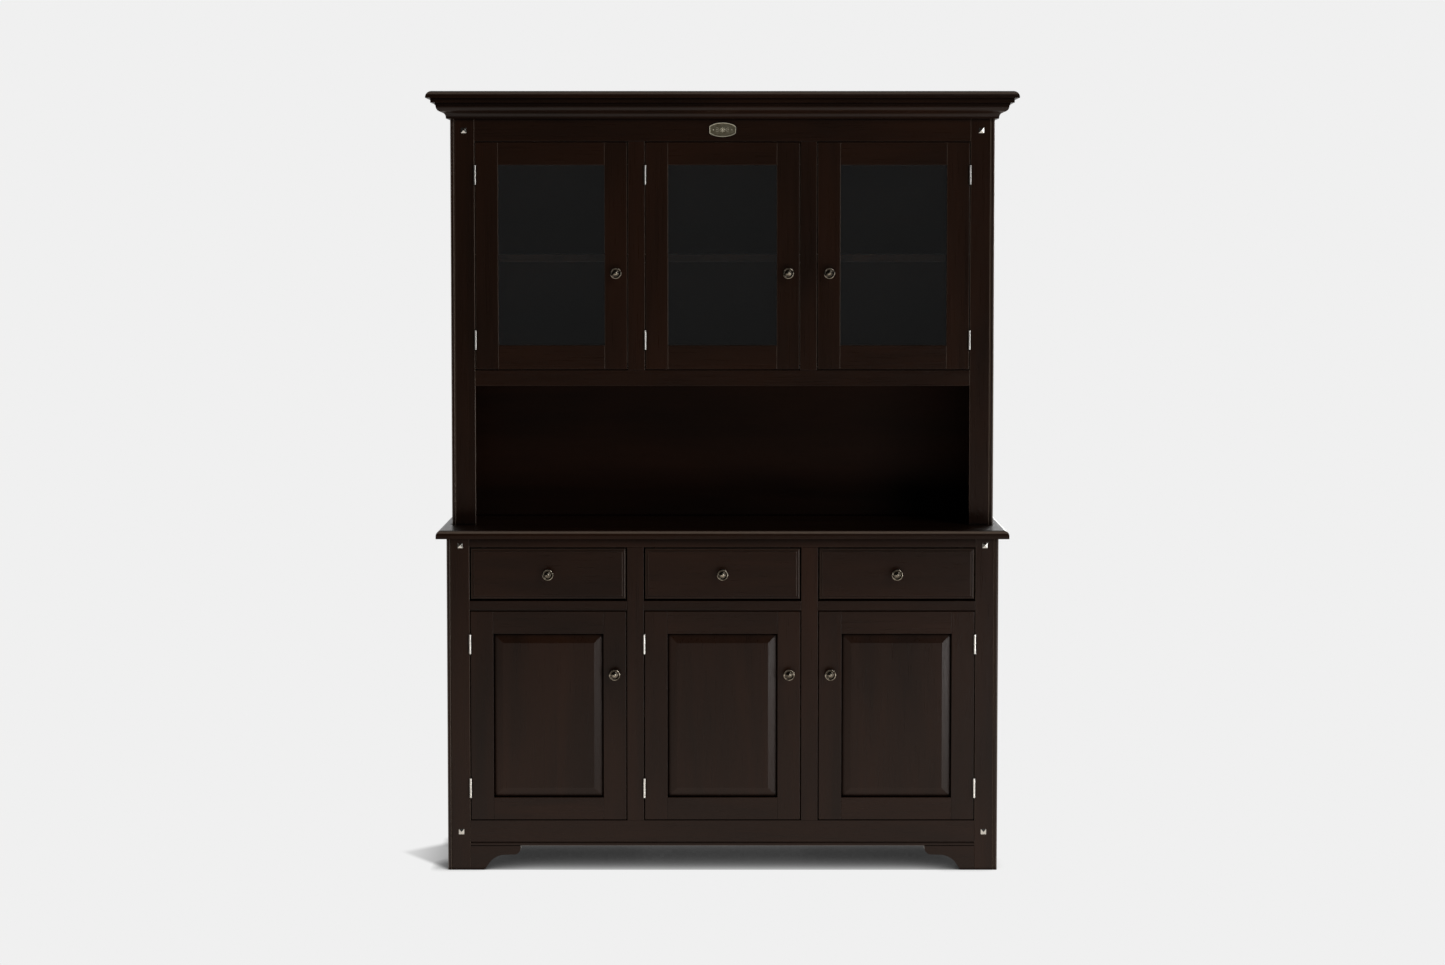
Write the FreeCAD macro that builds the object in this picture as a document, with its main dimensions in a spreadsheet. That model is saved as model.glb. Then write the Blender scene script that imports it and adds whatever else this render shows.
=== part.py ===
"""China cabinet with glass doors.

A sideboard with three drawers over three panelled doors carries a glazed hutch
with an open niche below its doors and a moulded cornice on top. Millimetres,
+Z up, the front faces -Y, and the origin is at the middle of the footprint on
the floor. Every board is its own solid, and each moving piece is built where it
rests when the cabinet is shut.
"""
import FreeCAD, Part
import math
import os
import re

SIZES = {
    # Sideboard
    "case_width": 1448, "case_depth": 446, "case_top": 878, "side_thick": 18,
    "top_width": 1500, "top_thick": 22, "top_lip": 24, "top_round": 14,
    "post_width": 60, "mid_width": 44, "frame_thick": 22, "ease": 1.2,
    "skirt_low": 63.5, "skirt_high": 131.5, "skirt_bead_z": 73, "skirt_bead_cut": 2.2,
    "skirt_round": 4,
    "divider_low": 688, "divider_high": 713.5, "top_rail_low": 854.5,
    # Hutch
    "hutch_width": 1443, "hutch_depth": 295, "hutch_post": 64, "hutch_top": 2031.5,
    "niche_high": 1271, "ledge_high": 1312.5, "frieze_low": 1919, "deck_thick": 18,
    # Doors and drawers
    "gap": 2.5, "leaf_thick": 20, "door_stile": 59.5, "door_rail": 59, "glass_rail": 60,
    "glass_low_rail": 64, "panel_bevel": 25, "panel_rise": 7.5, "panel_setback": 1.5,
    "groove": 8, "tongue": 6, "glass_thick": 4, "glass_setback": 7, "bead_width": 8,
    "lip_width": 9, "lip_step": 2.6, "lip_round": 6, "field_round": 1.8, "drawer_board": 12,
    "drawer_height": 120, "drawer_length": 400, "bottom_thick": 6, "bottom_up": 8,
    # Inner boards
    "back_thick": 9, "shelf_thick": 20, "shelf_play": 1, "base_shelf_z": 400,
    "hutch_shelf_z": 1600, "shelf_back": 12, "pin_radius": 2.5, "pin_out": 8, "pin_in": 40,
    "runner_reach": 30, "guide_high": 20, "kicker_low": 838, "slip": 0.5,
    # Cornice and cap
    "cap_thick": 18.5, "cap_out": 60, "cap_round": 17, "fascia_out": 47.4, "fascia_high": 12,
    "fillet_out": 36.9, "fillet_high": 6.5, "ogee_out": 34.7, "ogee_in": 10, "ogee_high": 29,
    "ogee_neck": 2.5,
    # Corner bead of the posts, and the bracket feet
    "bead_radius": 5.5, "quirk": 1.5, "foot_flat": 96, "foot_reach": 96, "corner_block": 40,
    "heel_in": 14, "heel_high": 20, "hollow_in": 29, "hollow_high": 33, "shoulder_in": 56,
    "shoulder_high": 40, "toe_in": 13, "toe_high": 41, "tip_in": 4, "tip_high": 48,
    # Knobs, hinges, badge, studs and catches
    "knob_radius": 15, "knob_out": 28, "base_knob_z": 520.5, "hutch_knob_z": 1570.5,
    "knob_foot_in": 5, "knob_foot_out": 2, "waist_in": 9, "waist_out": 9, "rim_round": 5.5,
    "rim_out": 22, "lip_radius": 2.2, "dome_radius": 7, "dish_in": 6.2, "dish_out": 22.9,
    "barrel_radius": 3, "barrel_off": 3.2, "pivot_radius": 1.5, "pivot_play": 0.05,
    "hinge_long": 51, "hinge_deep": 18, "hinge_plate": 1, "knuckle_play": 0.2,
    "base_hinge_low": 218, "base_hinge_high": 599, "hutch_hinge_low": 1393,
    "hutch_hinge_high": 1830.5, "badge_width": 70, "badge_height": 38, "badge_end": 18,
    "badge_thick": 3, "badge_z": 1949.7, "stud_size": 14, "stud_rise": 5, "stud_top": 0.6,
    "stud_in": 36, "stud_high_z": 1948, "stud_mid_z": 859.5, "stud_low_z": 101.6,
    "catch_wide": 28, "catch_deep": 38, "catch_high": 14, "catch_down": 60,
}

# Places that many boards share, as formulas on the sheet's cells.
BACK = "(case_depth + knob_out) / 2"
FACE = "((knob_out - case_depth) / 2)"
HUTCH_FACE = "((case_depth + knob_out) / 2 - hutch_depth)"
BAY = "((case_width - 2 * post_width - 2 * mid_width) / 3)"
MID_X = f"(({BAY} + mid_width) / 2)"
BAY_X = f"({BAY} + mid_width)"
SIDE_BAY = f"(hutch_width / 2 - hutch_post - {MID_X} - mid_width / 2)"
SIDE_BAY_X = f"({MID_X} + mid_width / 2 + {SIDE_BAY} / 2)"
HUTCH_LOW = "(case_top + top_thick)"
INNER_DEPTH = "(case_depth - frame_thick - back_thick)"
HUTCH_INNER_DEPTH = "(hutch_depth - frame_thick - back_thick)"
BAYS = {"left": -1, "middle": 0, "right": 1}
# The side that each door hangs on: -1 is its left edge and 1 is its right edge.
HANGS = {"left": -1, "middle": -1, "right": 1}

doc = FreeCAD.newDocument("china_cabinet")
sheet = doc.addObject("Spreadsheet::Sheet", "Dims")
for row, (alias, value) in enumerate(SIZES.items(), start=1):
    sheet.set(f"A{row}", alias)
    sheet.set(f"B{row}", str(value))
    sheet.setAlias(f"B{row}", alias)
doc.recompute()

nodes = []


def bind(item, prop, formula):
    """Tie a property to a formula whose words are the sheet's aliases."""
    text = re.sub(r"[a-z][a-z_]*", lambda word: f"Dims.{word.group(0)}", formula)
    item.setExpression(prop, text)


def place(item, x, y, z):
    """Tie an object's position to formulas."""
    bind(item, "Placement.Base.x", x)
    bind(item, "Placement.Base.y", y)
    bind(item, "Placement.Base.z", z)


def block(x_mid, x_size, y_low, y_size, z_low, z_size):
    """A plain box, centred on x_mid, with its low y and z corner given."""
    box = doc.addObject("Part::Box", "Block")
    bind(box, "Length", x_size)
    bind(box, "Width", y_size)
    bind(box, "Height", z_size)
    place(box, f"{x_mid} - ({x_size}) / 2", y_low, z_low)
    return box


def rounded(base, radius, chosen):
    """Round the edges whose middle point passes the test."""
    doc.recompute()
    picked = []
    for number, edge in enumerate(base.Shape.Edges, start=1):
        middle = edge.valueAt((edge.FirstParameter + edge.LastParameter) / 2)
        if chosen(middle, base.Shape.BoundBox):
            picked.append((number, radius, radius))
    fillet = doc.addObject("Part::Fillet", "Rounded")
    fillet.Base = base
    fillet.Edges = picked
    return fillet


def board(*box_sizes):
    """A board with every edge eased."""
    return rounded(block(*box_sizes), SIZES["ease"], lambda middle, bounds: True)


def cylinder(x, y, z, radius, length, along=FreeCAD.Vector(0, 0, 1)):
    """A round bar from a point, along Z unless told otherwise."""
    bar = doc.addObject("Part::Cylinder", "Bar")
    bar.Placement = FreeCAD.Placement(FreeCAD.Vector(), FreeCAD.Rotation(FreeCAD.Vector(0, 0, 1), along))
    bind(bar, "Radius", radius)
    bind(bar, "Height", length)
    place(bar, x, y, z)
    return bar


def cut(base, tool):
    """The base without the tool."""
    result = doc.addObject("Part::Cut", "Trimmed")
    result.Base = base
    result.Tool = tool
    return result


def fuse(*pieces):
    """Several shapes joined into one solid."""
    result = doc.addObject("Part::MultiFuse", "Joined")
    result.Shapes = list(pieces)
    result.Refine = True
    return result


def common(base, tool):
    """What the base and the tool share."""
    result = doc.addObject("Part::Common", "Shared")
    result.Base = base
    result.Tool = tool
    return result


def node(label, *pieces):
    """Name a sub-part, grouping its separate solids when it has several."""
    if len(pieces) == 1:
        item = pieces[0]
    else:
        item = doc.addObject("Part::Compound", "Group")
        item.Links = list(pieces)
    item.Label = label
    nodes.append(item)


def outline(plane, edges, name):
    """A body with one sketch of the given lines and arcs on an origin plane."""
    body = doc.addObject("PartDesign::Body", name)
    sketch = body.newObject("Sketcher::SketchObject", f"{name}Sketch")
    planes = [item for item in body.Origin.OriginFeatures if item.Role == plane]
    sketch.AttachmentSupport = [(planes[0], "")]
    sketch.MapMode = "FlatFace"
    sketch.addGeometry(edges, False)
    return body, sketch


def padded(plane, edges, name, length):
    """A body that pads an outline by a bound length."""
    body, sketch = outline(plane, edges, name)
    pad = body.newObject("PartDesign::Pad", f"{name}Pad")
    pad.Profile = sketch
    bind(pad, "Length", length)
    sketch.Visibility = False
    return body


def lines(points):
    """Straight edges through a run of points."""
    spots = [FreeCAD.Vector(x, y, 0) for x, y in points]
    return [Part.LineSegment(start, end) for start, end in zip(spots, spots[1:])]


def arc(start, middle, end):
    """An arc through three points."""
    return Part.Arc(*[FreeCAD.Vector(x, y, 0) for x, y in (start, middle, end)])


def arc_on(centre, radius, first_deg, last_deg):
    """An arc's edge about a centre, and its two ends, between two angles."""
    turns = [math.radians(angle) for angle in (first_deg, (first_deg + last_deg) / 2, last_deg)]
    spots = [(centre[0] + radius * math.cos(turn), centre[1] + radius * math.sin(turn)) for turn in turns]
    return arc(*spots), spots[0], spots[2]


def at_front(middle, bounds):
    """Edges on the front face."""
    return abs(middle.y - bounds.YMin) < 0.01


def top_edge(middle, bounds):
    """Upper edges along the front and the two sides."""
    return abs(middle.z - bounds.ZMax) < 0.01 and middle.y < bounds.YMax - 1


def bay_span(bay, hutch=False):
    """The middle and the width of a bay's opening, as formulas."""
    if bay == 0:
        return "0", BAY
    if hutch:
        return f"{bay} * {SIDE_BAY_X}", SIDE_BAY
    return f"{bay} * {BAY_X}", BAY


# ------------------------------------------------------------------ posts with a corner bead
def bead_post(side, face, width, outer, low, height):
    """A full-height front post: a quirked bead on its outer corner, a small chamfer inside."""
    radius, quirk, thick = SIZES["bead_radius"], SIZES["quirk"], SIZES["frame_thick"]
    wide, ease = SIZES[width], SIZES["ease"]
    edge = 2 * radius + quirk
    bead, bead_start, bead_end = arc_on((radius, radius), radius, -30, -240)
    points = [bead_end, (0, edge), (0, thick), (wide, thick), (wide, ease), (wide - ease, 0),
              (edge, 0), bead_start]
    edges = lines(points) + [bead]
    if side > 0:
        for item in edges:
            item.mirror(FreeCAD.Vector(0, 0, 0), FreeCAD.Vector(0, 1, 0))
    body = padded("XY_Plane", edges, "Post", height)
    place(body, f"{side} * {outer} / 2", face, low)
    return body


node("base_posts", *[bead_post(side, FACE, "post_width", "case_width", "0 * gap", "case_top")
                     for side in (-1, 1)])
node("hutch_posts", *[bead_post(side, HUTCH_FACE, "hutch_post", "hutch_width", HUTCH_LOW,
                                f"hutch_top - {HUTCH_LOW}") for side in (-1, 1)])

# ------------------------------------------------------------------ sideboard frame
node("base_mid_stiles", *[board(f"{side} * {MID_X}", "mid_width", FACE, "frame_thick", "skirt_high",
                                "top_rail_low - skirt_high") for side in (-1, 1)])
divider_rails = []
for bay in BAYS.values():
    middle, width = bay_span(bay)
    divider_rails.append(board(middle, width, FACE, "frame_thick", "divider_low",
                               "divider_high - divider_low"))
top_rail = board("0", "case_width - 2 * post_width", FACE, "frame_thick", "top_rail_low",
                 "case_top - top_rail_low")
node("base_rails", top_rail, *divider_rails)


def low_front(middle, bounds):
    """The lower edge of the front face."""
    return at_front(middle, bounds) and abs(middle.z - bounds.ZMin) < 0.01


skirt = block("0", "case_width - 2 * post_width", FACE, "frame_thick", "skirt_low",
              "skirt_high - skirt_low")
skirt_groove = cylinder("post_width - case_width / 2 - gap", FACE, "skirt_bead_z", "skirt_bead_cut",
                        "case_width - 2 * post_width + 2 * gap", FreeCAD.Vector(1, 0, 0))
node("base_bottom_rail", cut(rounded(skirt, SIZES["skirt_round"], low_front), skirt_groove))


# ------------------------------------------------------------------ bracket feet
def bracket(flat):
    """Edges of a bracket foot: a flat sole, a sloping heel and two curves up to the rail."""
    high = SIZES["skirt_low"]
    out = flat + SIZES["foot_reach"]
    heel = (flat + SIZES["heel_in"], SIZES["heel_high"])
    shoulder = (flat + SIZES["shoulder_in"], SIZES["shoulder_high"])
    toe = (out - SIZES["toe_in"], SIZES["toe_high"])
    tip = (out, high)
    straight = lines([(0, high), (0, 0), (flat, 0), heel])
    hollow = arc(heel, (flat + SIZES["hollow_in"], SIZES["hollow_high"]), shoulder)
    end = arc(toe, (out - SIZES["tip_in"], SIZES["tip_high"]), tip)
    return straight + [hollow] + lines([shoulder, toe]) + [end] + lines([tip, (0, high)])


feet = []
front_flat = SIZES["foot_flat"] - SIZES["post_width"]
side_flat = SIZES["foot_flat"] - SIZES["frame_thick"]
for side in (-1, 1):
    # The sketch plane faces -Y, so a turn of 180 degrees about Z mirrors the right-hand foot.
    front = padded("XZ_Plane", bracket(front_flat), "FrontFoot", "frame_thick")
    turn = 0 if side < 0 else 180
    front.Placement.Rotation = FreeCAD.Rotation(FreeCAD.Vector(0, 0, 1), turn)
    front_y = f"{FACE} + frame_thick" if side < 0 else FACE
    place(front, f"{side} * (case_width / 2 - post_width)", front_y, "0 * gap")
    fore = padded("XZ_Plane", bracket(side_flat), "SideFoot", "side_thick")
    fore.Placement.Rotation = FreeCAD.Rotation(FreeCAD.Vector(0, 0, 1), 90)
    fore_x = "-case_width / 2" if side < 0 else "case_width / 2 - side_thick"
    place(fore, fore_x, f"{FACE} + frame_thick", "0 * gap")
    rear = padded("XZ_Plane", bracket(SIZES["foot_flat"]), "RearFoot", "side_thick")
    rear.Placement.Rotation = FreeCAD.Rotation(FreeCAD.Vector(0, 0, 1), -90)
    rear_x = "side_thick - case_width / 2" if side < 0 else "case_width / 2"
    place(rear, rear_x, BACK, "0 * gap")
    blocks = [block(f"{side} * (case_width / 2 - side_thick - corner_block / 2)", "corner_block",
                    low, "corner_block", "slip", "skirt_low - slip")
              for low in (f"{FACE} + frame_thick", f"{BACK} - corner_block")]
    feet += [front, fore, rear] + blocks
node("bracket_feet", *feet)

# ------------------------------------------------------------------ sideboard carcass
node("base_side_panels", *[board(f"{side} * (case_width - side_thick) / 2", "side_thick",
                                 f"{FACE} + frame_thick", "case_depth - frame_thick", "skirt_low",
                                 "case_top - skirt_low") for side in (-1, 1)])
node("base_back_panel", board("0", "case_width - 2 * side_thick", f"{BACK} - back_thick", "back_thick",
                              "skirt_low", "case_top - skirt_low"))
node("base_bottom_panel", board("0", "case_width - 2 * side_thick", f"{FACE} + frame_thick",
                                INNER_DEPTH, "skirt_high - deck_thick", "deck_thick"))
node("base_partitions", *[board(f"{side} * {MID_X}", "deck_thick", f"{FACE} + frame_thick",
                                INNER_DEPTH, "skirt_high", "case_top - skirt_high")
                          for side in (-1, 1)])


def inner_edges(bay, outer):
    """The two walls beside a bay: the inner face's place, and how far the frame hides it."""
    partition_in = f"({MID_X} - deck_thick / 2)"
    partition_out = f"({MID_X} + deck_thick / 2)"
    hidden = "(mid_width - deck_thick) / 2"
    if bay == 0:
        return [(-1, partition_in, hidden), (1, partition_in, hidden)]
    return [(bay, f"({outer} / 2 - side_thick)", "(post_width - side_thick)"),
            (-bay, f"(-1 * {partition_out})", hidden)]


runners = []
for bay in BAYS.values():
    for side, wall, hidden in inner_edges(bay, "case_width"):
        # The wall's place is measured along side, so each board lies inward of it.
        wide = f"({hidden} + runner_reach)"
        for low, high, span in (("divider_low", "divider_high", wide),
                                ("divider_high", "(divider_high + guide_high)", f"({hidden})"),
                                ("kicker_low", "case_top", wide)):
            runners.append(block(f"{side} * ({wall} - {span} / 2)", span, f"{FACE} + frame_thick",
                                 INNER_DEPTH, low, f"{high} - {low}"))
node("drawer_runners", *runners)

worktop = block("0", "top_width", f"{FACE} - top_lip", "case_depth + top_lip", "case_top", "top_thick")
node("worktop", rounded(worktop, SIZES["top_round"], top_edge))

# ------------------------------------------------------------------ hutch frame and carcass
lower_rail = board("0", "hutch_width - 2 * hutch_post", HUTCH_FACE, "frame_thick", "niche_high",
                   "ledge_high - niche_high")
frieze = board("0", "hutch_width - 2 * hutch_post", HUTCH_FACE, "frame_thick", "frieze_low",
               "hutch_top - frieze_low")
node("hutch_rails", lower_rail, frieze)
node("hutch_mid_stiles", *[board(f"{side} * {MID_X}", "mid_width", HUTCH_FACE, "frame_thick",
                                 "ledge_high", "frieze_low - ledge_high") for side in (-1, 1)])
node("hutch_side_panels", *[board(f"{side} * (hutch_width - side_thick) / 2", "side_thick",
                                  f"{HUTCH_FACE} + frame_thick", "hutch_depth - frame_thick",
                                  HUTCH_LOW, f"hutch_top - {HUTCH_LOW}") for side in (-1, 1)])
node("hutch_back_panel", board("0", "hutch_width - 2 * side_thick", f"{BACK} - back_thick",
                               "back_thick", HUTCH_LOW, f"hutch_top - {HUTCH_LOW}"))
node("hutch_deck_panels", *[board("0", "hutch_width - 2 * side_thick", f"{HUTCH_FACE} + frame_thick",
                                  HUTCH_INNER_DEPTH, low, "deck_thick")
                            for low in ("ledge_high - deck_thick", "frieze_low")])
node("hutch_partitions", *[board(f"{side} * {MID_X}", "deck_thick", f"{HUTCH_FACE} + frame_thick",
                                 HUTCH_INNER_DEPTH, "ledge_high", "frieze_low - ledge_high")
                           for side in (-1, 1)])


# ------------------------------------------------------------------ shelves on their pins
def shelf_and_pins(bay, outer, face, depth, shelf_z):
    """A loose shelf between a bay's walls, and the four pins that it rests on."""
    (first, first_wall, _), (second, second_wall, _) = inner_edges(bay, outer)
    walls = [(first, f"{first} * {first_wall}"), (second, f"{second} * {second_wall}")]
    middle = f"({walls[0][1]} + {walls[1][1]}) / 2"
    width = f"({first_wall} + {second_wall})"
    shelf = board(middle, f"{width} - 2 * shelf_play", f"{face} + frame_thick + shelf_back",
                  f"{depth} - shelf_back - shelf_play", shelf_z, "shelf_thick")
    pins = []
    for side, wall in walls:
        low_end = wall if side < 0 else f"{wall} - pin_out"
        for y in (f"{face} + frame_thick + pin_in", f"{BACK} - back_thick - pin_in"):
            pins.append(cylinder(low_end, y, f"{shelf_z} - pin_radius", "pin_radius", "pin_out",
                                 FreeCAD.Vector(1, 0, 0)))
    return shelf, pins


base_shelves, hutch_shelves, pins = [], [], []
for bay in BAYS.values():
    shelf, shelf_pins = shelf_and_pins(bay, "case_width", FACE, INNER_DEPTH, "base_shelf_z")
    base_shelves.append(shelf)
    pins += shelf_pins
    shelf, shelf_pins = shelf_and_pins(bay, "hutch_width", HUTCH_FACE, HUTCH_INNER_DEPTH,
                                       "hutch_shelf_z")
    hutch_shelves.append(shelf)
    pins += shelf_pins
node("base_shelves", *base_shelves)
node("hutch_shelves", *hutch_shelves)
node("shelf_pins", *pins)


# ------------------------------------------------------------------ cornice and cap board
def cornice_profile():
    """Edges of the cornice: toe, ogee, fillet, soffit and fascia, with its back at x = 0."""
    top = SIZES["fascia_high"] + SIZES["fillet_high"] + 2 * SIZES["ogee_neck"] + SIZES["ogee_high"]
    toe = SIZES["ogee_neck"]
    high = toe + SIZES["ogee_high"]
    inside, outside = -SIZES["ogee_in"], -SIZES["ogee_out"]
    rise, run = SIZES["ogee_high"] / 2, (SIZES["ogee_out"] - SIZES["ogee_in"]) / 2
    radius = (rise ** 2 + run ** 2) / (2 * run)
    swing = math.degrees(math.atan2(rise, radius - run))
    hollow, hollow_start, turn = arc_on((inside - radius, toe), radius, 0, swing)
    swell, swell_start, swell_end = arc_on((outside + radius, high), radius, 180 + swing, 180)
    upper = [(outside, high), (outside, high + toe), (-SIZES["fillet_out"], high + toe),
             (-SIZES["fillet_out"], top - SIZES["fascia_high"]),
             (-SIZES["fascia_out"], top - SIZES["fascia_high"]),
             (-SIZES["fascia_out"], top), (0, top), (0, 0), (inside, 0), (inside, toe)]
    return [hollow, swell] + lines(upper)


CORNICE_LOW = "(hutch_top - fascia_high - fillet_high - 2 * ogee_neck - ogee_high)"
CORNICE_HIGH = "(fascia_high + fillet_high + 2 * ogee_neck + ogee_high)"


def mitre(x_mid, y_low, inner, turn):
    """A wedge whose slanting ends cut a moulding's mitres: inner long, fascia_out deep."""
    wedge = doc.addObject("Part::Wedge", "Mitre")
    bind(wedge, "Xmin", f"-({inner}) / 2 - fascia_out")
    bind(wedge, "Xmax", f"({inner}) / 2 + fascia_out")
    bind(wedge, "X2min", f"-({inner}) / 2")
    bind(wedge, "X2max", f"({inner}) / 2")
    bind(wedge, "Ymin", "-fascia_out")
    bind(wedge, "Ymax", "0 * gap")
    for low in ("Zmin", "Z2min"):
        bind(wedge, low, "0 * gap")
    for high in ("Zmax", "Z2max"):
        bind(wedge, high, CORNICE_HIGH)
    wedge.Placement.Rotation = FreeCAD.Rotation(FreeCAD.Vector(0, 0, 1), turn)
    place(wedge, x_mid, y_low, CORNICE_LOW)
    return wedge


front_run = padded("YZ_Plane", cornice_profile(), "CorniceFront", "hutch_width + 2 * fascia_out")
place(front_run, "-hutch_width / 2 - fascia_out", HUTCH_FACE, CORNICE_LOW)
cornice = [common(front_run, mitre("0", HUTCH_FACE, "hutch_width", 0))]
for side in (-1, 1):
    side_run = padded("YZ_Plane", cornice_profile(), "CorniceSide", "hutch_depth + fascia_out")
    side_run.Placement.Rotation = FreeCAD.Rotation(FreeCAD.Vector(0, 0, 1), side * 90)
    start = BACK if side < 0 else f"{HUTCH_FACE} - fascia_out"
    place(side_run, f"{side} * hutch_width / 2", start, CORNICE_LOW)
    # The side mitre is twice as long as the run, so only its front end cuts.
    cornice.append(common(side_run, mitre(f"{side} * hutch_width / 2", BACK, "2 * hutch_depth", side * 90)))
node("cornice_moulding", *cornice)

cap = block("0", "hutch_width + 2 * cap_out", f"{HUTCH_FACE} - cap_out", "hutch_depth + cap_out",
            "hutch_top", "cap_thick")
node("cornice_cap", rounded(cap, SIZES["cap_round"], top_edge))

# ------------------------------------------------------------------ badge and corner studs
half, end, tall = SIZES["badge_width"] / 2, SIZES["badge_end"] / 2, SIZES["badge_height"] / 2
badge_edges = [arc((-half, end), (0, tall), (half, end)), arc((half, -end), (0, -tall), (-half, -end))]
badge_edges += lines([(half, end), (half, -end)]) + lines([(-half, -end), (-half, end)])
badge = padded("XZ_Plane", badge_edges, "Badge", "badge_thick")
place(badge, "0 * gap", HUTCH_FACE, "badge_z")
node("badge", badge)


def frustum(x, face, z, wide, high, rise, slope, thick):
    """A slab whose front is bevelled: a wedge that narrows towards -Y from a flat back."""
    wedge = doc.addObject("Part::Wedge", "Bevel")
    for prop, formula in (("Xmin", f"-({wide}) / 2 + {slope}"), ("Xmax", f"({wide}) / 2 - {slope}"),
                          ("Zmin", f"-({high}) / 2 + {slope}"), ("Zmax", f"({high}) / 2 - {slope}"),
                          ("X2min", f"-({wide}) / 2"), ("X2max", f"({wide}) / 2"),
                          ("Z2min", f"-({high}) / 2"), ("Z2max", f"({high}) / 2"),
                          ("Ymin", f"-({rise})"), ("Ymax", "0 * gap")):
        bind(wedge, prop, formula)
    place(wedge, x, face, z)
    return wedge


studs = []
for side in (-1, 1):
    hutch_x = f"{side} * (hutch_width / 2 - stud_in)"
    base_x = f"{side} * (case_width / 2 - stud_in)"
    for x, face, z in ((hutch_x, HUTCH_FACE, "stud_high_z"), (base_x, FACE, "stud_mid_z"),
                       (base_x, FACE, "stud_low_z")):
        studs.append(frustum(x, face, z, "stud_size", "stud_size", "stud_rise",
                             "(stud_size - stud_top) / 2", "0"))
node("studs", *studs)


# ------------------------------------------------------------------ knobs
def knob(label, x, face, z):
    """A turned knob: foot, waist, rim, dished ring and a domed centre."""
    rim, rim_y = SIZES["knob_radius"], -SIZES["rim_out"]
    round_back, round_front, dome_round = SIZES["rim_round"], SIZES["lip_radius"], SIZES["dome_radius"]
    foot_edge = (rim - SIZES["knob_foot_in"], -SIZES["knob_foot_out"])
    foot = lines([(0, 0), (foot_edge[0], 0), foot_edge])
    swell, waist_end, _ = arc_on((rim - round_back, rim_y), round_back, 95, 0)
    lip, _, dish_start = arc_on((rim - round_front, rim_y), round_front, 0, -110)
    dome, dome_start, tip = arc_on((0, dome_round - SIZES["knob_out"]), dome_round, -25, -90)
    waist = arc(foot_edge, (rim - SIZES["waist_in"], -SIZES["waist_out"]), waist_end)
    dish = arc(dish_start, (rim - SIZES["dish_in"], -SIZES["dish_out"]), dome_start)
    edges = foot + [waist, swell, lip, dish, dome] + lines([tip, (0, 0)])
    body, sketch = outline("XY_Plane", edges, "Knob")
    turning = body.newObject("PartDesign::Revolution", "KnobTurning")
    turning.Profile = sketch
    turning.ReferenceAxis = (sketch, ["V_Axis"])
    turning.Angle = 360
    place(body, x, face, z)
    node(label, body)


# ------------------------------------------------------------------ hinges
def hinge_leaf(door_side, edge, axis_y, z_mid, fixed):
    """One leaf of a butt hinge; the fixed leaf holds the pin and the two outer knuckles."""
    pivot_x = f"({edge} - {door_side} * gap / 2)"
    low = f"({z_mid} - hinge_long / 2)"
    third = "hinge_long / 3"
    plate_x = (f"{edge} - {door_side} * hinge_plate / 2" if fixed
               else f"{edge} - {door_side} * (gap - hinge_plate / 2)")
    plate = block(plate_x, "hinge_plate", f"{axis_y} + barrel_off", "hinge_deep", low, "hinge_long")
    if fixed:
        pieces = [plate, cylinder(pivot_x, axis_y, low, "pivot_radius", "hinge_long")]
        for start in (low, f"{low} + 2 * {third}"):
            pieces.append(cylinder(pivot_x, axis_y, start, "barrel_radius", third))
            pieces.append(block(plate_x, "hinge_plate", f"{axis_y} + pivot_radius",
                                "barrel_off - pivot_radius", start, third))
        return fuse(*pieces)
    start = f"{low} + {third} + knuckle_play"
    length = f"{third} - 2 * knuckle_play"
    knuckle = cylinder(pivot_x, axis_y, start, "barrel_radius", length)
    web = block(plate_x, "hinge_plate", f"{axis_y} + pivot_radius", "barrel_off - pivot_radius",
                start, length)
    bore = cylinder(pivot_x, axis_y, low, "pivot_radius + pivot_play", "hinge_long")
    return cut(fuse(plate, knuckle, web), bore)


# ------------------------------------------------------------------ doors
fixed_leaves, catches = [], []


def door_board(x_mid, x_size, face, z_low, z_size, pocket):
    """A stile or rail of a door, with the groove or rebate cut by a pocket block."""
    return cut(board(x_mid, x_size, face, "leaf_thick", z_low, z_size), pocket)


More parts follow.
